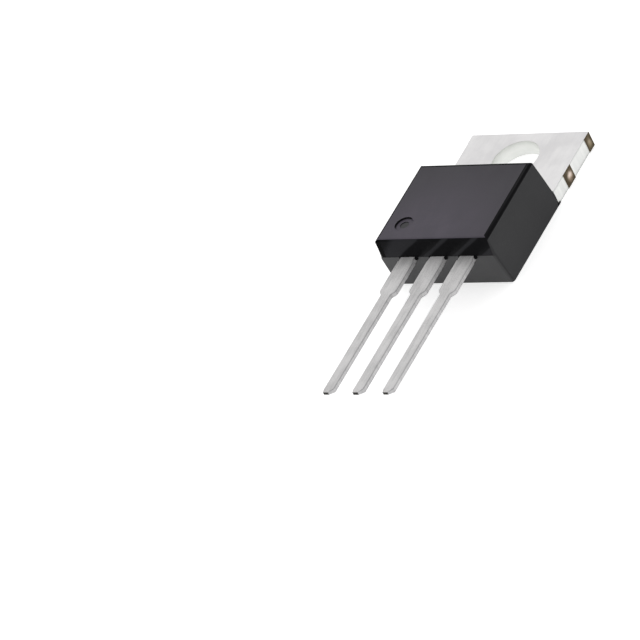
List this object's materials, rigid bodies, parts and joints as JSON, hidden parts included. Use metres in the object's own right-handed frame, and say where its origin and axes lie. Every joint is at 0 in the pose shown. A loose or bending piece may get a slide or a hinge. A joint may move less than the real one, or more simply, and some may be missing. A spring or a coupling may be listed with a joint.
{
  "type": "power transistor",
  "caption": "Moulded power transistor with a drilled metal mounting tab and three straight flat leads.",
  "frame": {"origin": "centre of the mounting hole on the seating face of the tab", "axes": "+Z through the hole from the seating face to the moulded front, -Y along the leads, -X the base lead's side"},
  "size_m": [0.0102, 0.0294, 0.0046],
  "materials": {
    "moulding_compound": "satin moulded epoxy compound",
    "plated_tab": "satin bright-plated copper",
    "plated_leads": "satin tin plate, bare copper at the sheared tips",
    "silicon": "polished silicon with an aluminium top",
    "solder": "dull soft solder",
    "bond_wire": "drawn aluminium wire"
  },
  "bodies": {
    "root": {"mould_body": "moulding_compound", "collector_tab": "plated_tab", "base_lead": "plated_leads", "emitter_lead": "plated_leads", "silicon_die": "silicon", "die_solder": "solder", "base_wire": "bond_wire", "emitter_wire_inner": "bond_wire", "emitter_wire_outer": "bond_wire"}
  },
  "joints": []
}
